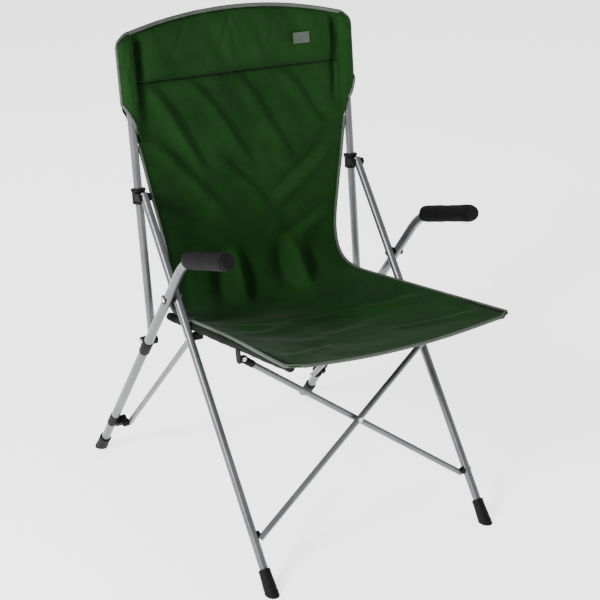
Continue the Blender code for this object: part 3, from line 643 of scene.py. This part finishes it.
# ---------------------------------------------------------------- sling
BACK_HALF = [(0.054, 0.2500), (0.085, 0.2420), (0.110, 0.2300), (0.160, 0.2140), (0.205, 0.2180), (0.251, 0.2265),
             (0.332, 0.2420), (0.390, 0.2520), (0.430, 0.2600), (0.470, 0.2680), (0.70, 0.2680)]


def half_width(along):
    """Half the back's width at a distance up the pole, eased through the table."""
    total = weight = 0.0
    for shift in (-0.018, -0.009, 0.0, 0.009, 0.018):
        place = along + shift
        value = BACK_HALF[0][1] if place < BACK_HALF[0][0] else BACK_HALF[-1][1]
        for (a, wa), (b, wb) in zip(BACK_HALF, BACK_HALF[1:]):
            if a <= place <= b:
                value = wa + (wb - wa) * (place - a) / (b - a)
        share = 1.0 - abs(shift) / 0.03
        total += value * share
        weight += share
    return total / weight


def back_top(x):
    """How far up the pole the back's top edge is, across the chair."""
    t = min(1.0, abs(x) / 0.270)
    return BACK_TOP + 0.037 * (1 - t * t)


def back_hollow(across, along):
    """How far the back bellies behind the poles' plane."""
    lift = math.sin(math.pi * min(1.0, max(0.0, along / 0.66)) ** 0.8)
    return (0.006 + 0.020 * lift) * (1 - across * across)


BACK_CREASES = (
    ((-0.215, 0.535), (-0.090, 0.330), 0.016, 1.00),
    ((-0.120, 0.540), (0.030, 0.340), 0.015, 0.85),
    ((0.000, 0.540), (0.130, 0.330), 0.017, 0.95),
    ((0.110, 0.540), (0.215, 0.400), 0.014, 0.60),
    ((-0.225, 0.420), (-0.030, 0.220), 0.017, 0.95),
    ((-0.060, 0.360), (0.110, 0.190), 0.016, 0.80),
    ((0.215, 0.360), (0.080, 0.240), 0.016, 0.75),
    ((-0.205, 0.270), (0.020, 0.120), 0.016, 1.10),
    ((0.020, 0.250), (0.150, 0.110), 0.015, 0.90),
    ((0.200, 0.210), (0.060, 0.130), 0.013, 0.80),
    ((-0.190, 0.150), (-0.060, 0.060), 0.012, 0.90),
)


def back_creases(x, along, high):
    """The back's soft diagonal creases and small puckers."""
    total = 0.0
    for start, end, width, height in BACK_CREASES:
        total += fold_line(x, along, start, end, width, height)
        total -= 0.6 * fold_line(x, along - 1.5 * width, start, end, width, height)
    rough = noise.noise(Vector((x * 10.0 + along * 4.0, along * 6.0, 3.1))) * 0.75
    fine = noise.noise(Vector((x * 30.0 + along * 12.0, along * 18.0, 8.7))) * 0.24
    calm = 0.45 + 0.55 * soft_step(along, 0.15, 0.34)
    return high * calm * (1.35 * total + rough + fine)


def back_point(x, along, proud=0.0):
    """A point on the back sheet."""
    width = half_width(along)
    across = max(-1.0, min(1.0, x / width))
    high = bpy.context.scene.camp_chair.wrinkle_height
    edge = 1 - soft_step(abs(across), 0.82, 1.0)
    depth = back_hollow(across, along) - back_creases(x, along, high) * (0.25 + 0.75 * edge)
    depth += 0.005 * math.exp(-(((along - 0.547) / 0.008) ** 2)) * (1 - abs(across) ** 4)
    groove = math.exp(-(((abs(x) - 0.2420) / 0.0085) ** 2)) * soft_step(along, 0.43, 0.53)
    depth += 0.013 * groove * (1 - soft_step(along, 0.63, 0.66))
    point = step(step(POLE_FOOT, POLE_UP, along), POLE_FRONT, -depth + proud)
    return at(x, point)


SEAT_REAR_Y = 0.395 + Y_SHIFT
SEAT_FRONT_Y = -0.061 + Y_SHIFT
BACK_START = 0.165
SEAT_HALF = 0.2475
CORNER = 0.019
FLARE = 0.0125              # how much wider the seat is at its front
SEAT_CREASES = (
    ((-0.235, -0.01), (-0.080, 0.10), 0.018, 0.50),
    ((0.235, 0.00), (0.080, 0.09), 0.018, 0.50),
    ((-0.225, 0.22), (-0.010, 0.32), 0.022, 0.70),
    ((0.225, 0.20), (0.050, 0.31), 0.022, 0.80),
    ((-0.190, 0.345), (0.090, 0.300), 0.016, 0.55),
    ((-0.110, 0.14), (0.150, 0.19), 0.030, 0.35),
)


def seat_flare(y):
    """1 at the seat's front edge, where the cloth wraps over the rails, falling to 0 further back."""
    return 1 - soft_step(y, SEAT_FRONT_Y - 0.02, SEAT_FRONT_Y + 0.30)


def seat_half(y):
    """Half the seat's width, rounded off at the front corners."""
    half = SEAT_HALF + FLARE * seat_flare(y)
    short = CORNER - (y - SEAT_FRONT_Y)
    if short <= 0:
        return half
    return half - CORNER + math.sqrt(max(0.0, CORNER * CORNER - short * short))


def seat_point(x, y):
    """A point on the seat sheet, which sags between the rails."""
    across = max(-1.0, min(1.0, x / SEAT_HALF))
    u = (y - SEAT_FRONT_Y) / (SEAT_REAR_Y - SEAT_FRONT_Y)
    rail_z = RAIL_MID[1] + (RAIL_MID[0] - y) * math.tan(RAIL_RISE)
    sag = (0.020 + 0.028 * math.sin(math.pi * min(1.0, u) * 0.62)) * (1 - abs(across) ** 2.2)
    high = bpy.context.scene.camp_chair.wrinkle_height
    total = 0.0
    for start, end, width, height in SEAT_CREASES:
        here = (x, y - Y_SHIFT)
        total += fold_line(*here, start, end, width, height)
        total -= 0.5 * fold_line(here[0], here[1] - 1.5 * width, start, end, width, height)
    total += noise.noise(Vector((x * 8.0, y * 8.0, 1.7))) * 0.55
    total += noise.noise(Vector((x * 24.0, y * 22.0, 5.2))) * 0.14
    edge = 1 - soft_step(abs(across), 0.80, 1.0)
    lift = high * total * edge * soft_step(u, 0.0, 0.10)
    wrap = 0.005 * seat_flare(y) * abs(across) ** 6
    return Vector((x, y, rail_z + 0.0108 - wrap - sag + lift))


def bend_point(across, t):
    """A point on the curve that carries the seat up into the back, t from 0 on the seat to 1 on the back."""
    y = SEAT_REAR_Y
    p0 = seat_point(across * SEAT_HALF, y)
    t0 = (p0 - seat_point(across * SEAT_HALF, y - 0.012)).normalized()
    p1 = back_point(across * half_width(BACK_START), BACK_START)
    t1 = (back_point(across * half_width(BACK_START + 0.012), BACK_START + 0.012) - p1).normalized()
    reach = (p1 - p0).length * 0.56
    a, b = p0 + t0 * reach, p1 - t1 * reach
    k = 1 - t
    point = p0 * k ** 3 + a * 3 * t * k * k + b * 3 * t * t * k + p1 * t ** 3
    pucker = math.sin(math.pi * t) ** 2 * (1 - across ** 4)
    wave = noise.noise(Vector((across * 2.6 + t * 1.3, t * 1.6, 4.4))) * 0.42
    wave += noise.noise(Vector((across * 7.0 - t * 2.5, t * 3.0, 9.4))) * 0.22
    high = bpy.context.scene.camp_chair.wrinkle_height
    return point + Vector((0, -0.7, 0.7)) * (pucker * wave * high)


SPLIT = 0.5


def seat_cloth_point(u, v):
    """A point on the seat piece of the sling, u from its front edge to the crease."""
    across = 2 * v - 1
    share = 0.80
    if u <= share:
        y = SEAT_FRONT_Y + (SEAT_REAR_Y - SEAT_FRONT_Y) * u / share
        return seat_point(across * seat_half(y), y)
    return bend_point(across, (u - share) / (1 - share) * SPLIT)


def back_cloth_point(u, v):
    """A point on the back piece of the sling, u from the crease to the top edge."""
    across = 2 * v - 1
    share = 0.14
    if u < share:
        return bend_point(across, SPLIT + (1 - SPLIT) * u / share)
    rise = (u - share) / (1 - share)
    along = BACK_START + (BACK_TOP - BACK_START) * rise
    x = across * half_width(along)
    return back_point(x, along + rise ** 3 * (back_top(x) - BACK_TOP))


def squash_seat(ob):
    """Give a seat piece its own copy of its mesh."""
    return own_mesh(ob)


def squash_back(ob):
    """Give a back piece its own copy of its mesh."""
    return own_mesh(ob)


class CAMP_OT_seat(bpy.types.Operator):
    """Seat piece of the sling with the piping round its edge"""

    bl_idname = "camp.seat"
    bl_label = "Seat Sling"

    def execute(self, context):
        looks = context.scene.camp_chair
        sheet = grid_sheet("seat_cloth", 120, 110, seat_cloth_point, looks.cloth_thickness, finish_named("green"))
        ride_with(sheet, "sling_seat", ["seat_sling"])
        squash_seat(sheet)
        line = []
        for side in (-1, 1):
            edge = [seat_cloth_point(i / 110, (1 + side) / 2) + Vector((side * 0.0022, 0, 0)) for i in range(4, 111)]
            line += edge[::-1] if side < 0 else []
            if side < 0:
                for i in range(1, 50):
                    x = (2 * i / 50 - 1) * (SEAT_HALF + FLARE - CORNER)
                    line.append(seat_point(x, SEAT_FRONT_Y) + Vector((0, -0.0022, 0)))
            else:
                line += edge
        piping = swept("seat_piping", line, looks.piping_radius, finish_named("piping"), 4)
        ride_with(piping, "sling_seat")
        squash_seat(piping)
        return {"FINISHED"}


class CAMP_OT_sleeves(bpy.types.Operator):
    """Rail sleeves, closed over the rails' front ends, coloured near black as painted shade"""

    bl_idname = "camp.sleeves"
    bl_label = "Rail Sleeves"

    def execute(self, context):
        for tag, side in SIDES:
            front = at(side * RAIL_X, RAIL_FRONT_END)
            rear = at(side * RAIL_X, RAIL_REAR_END)
            run = (front - rear).normalized()
            length = (front - rear).length
            outline = [(0.0073, 0.003), (0.0090, 0.003)]
            for i in range(60):
                t = i / 59
                ripple = 0.00030 * math.sin(t * 71.0 + side) + 0.0003 * math.sin(t * 17.0)
                outline.append((0.0092 + ripple, 0.006 + (length - 0.012) * t))
            outline += [(0.0090, length), (0.0078, length + 0.0035), (0.0050, length + 0.0055), (0, length + 0.0062),
                        (0, length + 0.0045), (0.0073, length)]
            # painted shade: the green sleeve is coloured near black where it lies in shadow under the seat
            ob = turned(f"rail_cloth_sleeve_{tag}", outline, rear, run, finish_named("hem"))
            ride_with(ob, f"rail_{tag}", [f"rail_sleeve_{tag}", f"rail_cap_{tag}"])
        return {"FINISHED"}


class CAMP_OT_back(bpy.types.Operator):
    """Back piece of the sling with its edge piping"""

    bl_idname = "camp.back"
    bl_label = "Back Sling"

    def execute(self, context):
        looks = context.scene.camp_chair
        sheet = grid_sheet("back_cloth", 170, 120, back_cloth_point, looks.cloth_thickness, finish_named("green"))
        ride_with(sheet, "sling_back", ["back_sling"])
        squash_back(sheet)
        for tag, side in SIDES:
            line = []
            for i in range(120):
                u = i / 200
                p = back_cloth_point(u, (1 + side) / 2)
                line.append(p + Vector((side * 0.0015, 0, 0)) + vec(POLE_FRONT) * 0.001)
            ob = swept(f"back_side_piping_{tag}", line, looks.piping_radius, finish_named("piping"), 4)
            ride_with(ob, "sling_back")
            squash_back(ob)
        top = []
        for i in range(81):
            x = (2 * i / 80 - 1) * 0.258
            top.append(back_point(x, back_top(x) + 0.002, 0.003))
        ob = swept("back_top_piping", top, looks.piping_radius * 1.3, finish_named("piping"), 4)
        ride_with(ob, "sling_back")
        squash_back(ob)
        return {"FINISHED"}


class CAMP_OT_headrest(bpy.types.Operator):
    """Padded headrest panel with its seam, a near-black cord of painted shadow under the pad, and a small blank
    label
    """

    bl_idname = "camp.headrest"
    bl_label = "Headrest"

    def execute(self, context):
        looks = context.scene.camp_chair
        low, half = 0.551, 0.2370

        def shape(u, v, face):
            x = (2 * v - 1) * half
            along = low + (back_top(x) - 0.004 - low) * u
            rim = math.sin(math.pi * min(0.5, min(u / 0.30, (1 - u) / 0.45) * 0.5)) ** 0.62
            side_rim = math.sin(math.pi * min(0.5, min(v, 1 - v) / 0.11 * 0.5)) ** 0.7
            round_off = max(0.0, rim * side_rim)
            puff = looks.pad_thickness * (0.80 + 0.30 * noise.noise(Vector((x * 11, along * 9, 2.0)))) * round_off
            crease = 0.0032 * noise.noise(Vector((x * 34 + along * 10, along * 12, 6.0)))
            for at_x, lean, deep in ((-0.050, 0.35, 0.0040), (-0.012, -0.20, 0.0032), (0.070, 0.25, 0.0022),
                                     (-0.165, 0.5, 0.0026)):
                off = x - at_x - lean * (along - 0.60)
                crease -= deep * math.exp(-((off / 0.0065) ** 2)) * soft_step(u, 0.15, 0.7)
            return back_point(x, along, 0.0016 + (puff + crease * round_off if face else 0.0))

        deselect()
        bpy.ops.mesh.primitive_grid_add(x_subdivisions=150, y_subdivisions=44, size=1.0)
        ob = bpy.context.view_layer.objects.active
        ob.name = "headrest_panel"
        ob.data.name = "headrest_panel"
        flat = [(v.co.y + 0.5, v.co.x + 0.5) for v in ob.data.vertices]
        solid = ob.modifiers.new("pad", "SOLIDIFY")
        solid.thickness = 0.1
        solid.offset = 0.0
        apply_all(ob)
        count = len(flat)
        for i, v in enumerate(ob.data.vertices):
            u, w = flat[i % count]
            v.co = shape(u, w, v.co.z > 0)
        mend(ob)
        dress(ob, finish_named("green"))
        smooth(ob, 70)
        ride_with(ob, "sling_back", ["headrest_pad"])
        squash_back(ob)
        seam = [back_point((2 * i / 90 - 1) * 0.250, low - 0.002, 0.0016) for i in range(91)]
        # painted shadow: the seam cord is near black to stand for the shadow under the pad's lower edge
        ob = swept("headrest_seam", seam, 0.0018, finish_named("hem"), 3)
        ride_with(ob, "sling_back")
        squash_back(ob)

        def tab(u, v):
            x = 0.128 + 0.040 * v
            return back_point(x, 0.598 + 0.024 * u, looks.pad_thickness * 0.92 + 0.0030)

        ob = grid_sheet("blank_woven_label", 10, 16, tab, 0.0009, finish_named("label"))
        ride_with(ob, "sling_back", ["blank_label"])
        squash_back(ob)
        return {"FINISHED"}


class CAMP_OT_pockets(bpy.types.Operator):
    """Cloth pockets that slip over the back poles' tops"""

    bl_idname = "camp.pockets"
    bl_label = "Pole Pockets"

    def execute(self, context):
        looks = context.scene.camp_chair
        front = vec(POLE_FRONT)
        for tag, side in SIDES:
            rows, around = 90, 48
            bm = bmesh.new()
            rings = []
            for i in range(rows + 1):
                t = i / rows
                ring = []
                for j in range(around):
                    a = math.tau * j / around
                    outward = math.cos(a)
                    start = 0.430 + 0.080 * (0.5 + 0.5 * outward)
                    end = 0.657 - 0.012 * (0.5 + 0.5 * outward)
                    along = start + (end - start) * t
                    close = math.sqrt(max(0.0, 1 - soft_step(t, 0.92, 1.0) ** 2 * 0.93))
                    crumple = 0.0016 * noise.noise(Vector((math.cos(a) * 2, math.sin(a) * 2, along * 36 + side)))
                    crumple += 0.0007 * noise.noise(Vector((math.cos(a) * 4, math.sin(a) * 4, along * 90 + side)))
                    rx = (0.0180 + crumple) * close
                    ry = (0.0150 + crumple * 1.6) * close
                    p = at(side * LEG_X, step(POLE_FOOT, POLE_UP, along))
                    p += Vector((side * outward * rx, 0, 0)) + front * (math.sin(a) * ry)
                    ring.append(bm.verts.new(p))
                rings.append(ring)
            for a, b in zip(rings, rings[1:]):
                for j in range(around):
                    k = (j + 1) % around
                    bm.faces.new((a[j], a[k], b[k], b[j]))
            bm.faces.new(rings[-1])
            mesh = bpy.data.meshes.new(f"pole_cloth_pocket_{tag}")
            bm.to_mesh(mesh)
            bm.free()
            ob = bpy.data.objects.new(mesh.name, mesh)
            context.scene.collection.objects.link(ob)
            mend(ob)
            solid = ob.modifiers.new("cloth", "SOLIDIFY")
            solid.thickness = looks.cloth_thickness
            solid.offset = -1.0
            apply_all(ob)
            dress(ob, finish_named("green"))
            smooth(ob, 60)
            ride_with(ob, f"pole_{tag}", [f"pole_pocket_{tag}"])
            line = []
            for i in range(12, 40):
                t = i / 39
                outward = -math.cos(math.pi * t)
                place = step(POLE_FOOT, POLE_UP, 0.431 + 0.080 * (0.5 + 0.5 * outward))
                p = at(side * (LEG_X + outward * 0.0186), place)
                line.append(p + front * (0.0154 * math.sin(math.pi * t) * soft_step(t, 0.28, 0.55) + 0.001))
            for i in range(1, 60):
                t = i / 59
                x = LEG_X + 0.0186 - 0.004 * soft_step(t, 0.9, 1.0)
                line.append(at(side * x, step(POLE_FOOT, POLE_UP, 0.511 + (0.641 - 0.511) * t)))
            for i in range(1, 14):
                t = i / 13
                place = step(POLE_FOOT, POLE_UP, 0.641 + 0.017 * math.sin(t * 1.5))
                line.append(at(side * (LEG_X + 0.0146 - 0.026 * t), place))
            ob = swept(f"pocket_piping_{tag}", line, looks.piping_radius, finish_named("piping"), 4)
            ride_with(ob, f"pole_{tag}")
        return {"FINISHED"}


class CAMP_OT_finishes(bpy.types.Operator):
    """Finishes for the frame's own fittings"""

    bl_idname = "camp.finishes"
    bl_label = "Frame Finishes"

    def execute(self, context):
        for name, ob in frame["nodes"].items():
            if name.startswith("collar_rivet"):
                key = "plastic"
            elif "rivet" in name or "hub_pin" in name:
                key = "zinc"
            elif name.startswith(("seat_rail", "front_leg", "arm_tube", "back_pole", "rear_strut", "cross_tube")):
                key = "steel"
            elif name.startswith("arm_grip"):
                key = "foam"
            elif name.startswith(("pole_pocket", "rail_sleeve", "seat_sling", "back_sling", "headrest_pad")):
                key = "green"
            elif name.startswith("blank_label"):
                key = "label"
            else:
                key = "plastic"
            dress(ob, finish_named(key))
        return {"FINISHED"}


class CAMP_OT_stage(bpy.types.Operator):
    """Pale floor, soft studio light and the camera"""

    bl_idname = "camp.stage"
    bl_label = "Stage"

    def execute(self, context):
        deselect()
        bpy.ops.mesh.primitive_plane_add(size=24.0, location=(0, 0, -0.0005))
        floor = bpy.context.view_layer.objects.active
        floor.name = "studio_floor"
        dress(floor, floor_paint())
        world = bpy.data.worlds.new("studio")
        context.scene.world = world
        world.use_nodes = True
        back = world.node_tree.nodes["Background"]
        back.inputs["Color"].default_value = (1.0, 1.0, 1.0, 1.0)
        back.inputs["Strength"].default_value = 0.58
        for name, place, size, power in (
            ("key_light", (-3.2, -1.2, 2.3), 1.0, 215.0),
            ("fill_light", (2.8, -2.2, 2.0), 2.6, 20.0),
            ("rim_light", (0.6, 3.0, 3.4), 2.2, 60.0),
        ):
            lamp = bpy.data.lights.new(name, "AREA")
            lamp.energy = power
            lamp.size = size
            ob = bpy.data.objects.new(name, lamp)
            ob.location = place
            ob.rotation_euler = (Vector((0, 0, 0.5)) - Vector(place)).to_track_quat("-Z", "Y").to_euler()
            context.scene.collection.objects.link(ob)
        camera = bpy.data.cameras.new("camera")
        camera.lens = 84.28
        camera.sensor_width = 36.0
        ob = bpy.data.objects.new("camera", camera)
        ob.location = (-1.48666, -2.06680 + Y_SHIFT, 1.55172)
        ob.rotation_euler = (math.radians(90 - 21.075), 0, math.radians(-31.812))
        context.scene.collection.objects.link(ob)
        context.scene.camera = ob
        return {"FINISHED"}


STEPS = (CAMP_OT_finishes, CAMP_OT_tubes, CAMP_OT_boots, CAMP_OT_grips, CAMP_OT_collars, CAMP_OT_sleeves,
         CAMP_OT_seat, CAMP_OT_back, CAMP_OT_headrest, CAMP_OT_pockets, CAMP_OT_stage)


class CAMP_PT_panel(bpy.types.Panel):
    """Lists the chair's pieces"""

    bl_idname = "CAMP_PT_panel"
    bl_label = "Camp Chair"
    bl_space_type = "VIEW_3D"
    bl_region_type = "UI"
    bl_category = "Camp Chair"

    def draw(self, context):
        looks = context.scene.camp_chair
        for name in ("tube_steps", "cloth_thickness", "piping_radius", "wrinkle_height", "pad_thickness",
                     "green_dark", "green_light"):
            self.layout.prop(looks, name)
        for cls in STEPS:
            self.layout.operator(cls.bl_idname)


CLASSES = (CampChairSettings, *STEPS, CAMP_PT_panel)


def register():
    """Register the classes and the settings."""
    for cls in CLASSES:
        bpy.utils.register_class(cls)
    bpy.types.Scene.camp_chair = PointerProperty(type=CampChairSettings)


def unregister():
    """Remove the settings and the classes."""
    del bpy.types.Scene.camp_chair
    for cls in reversed(CLASSES):
        bpy.utils.unregister_class(cls)


def main():
    """Build the chair and its stage."""
    register()
    for cls in STEPS:
        space, name = cls.bl_idname.split(".")
        getattr(getattr(bpy.ops, space), name)()


if __name__ == "__main__":
    main()
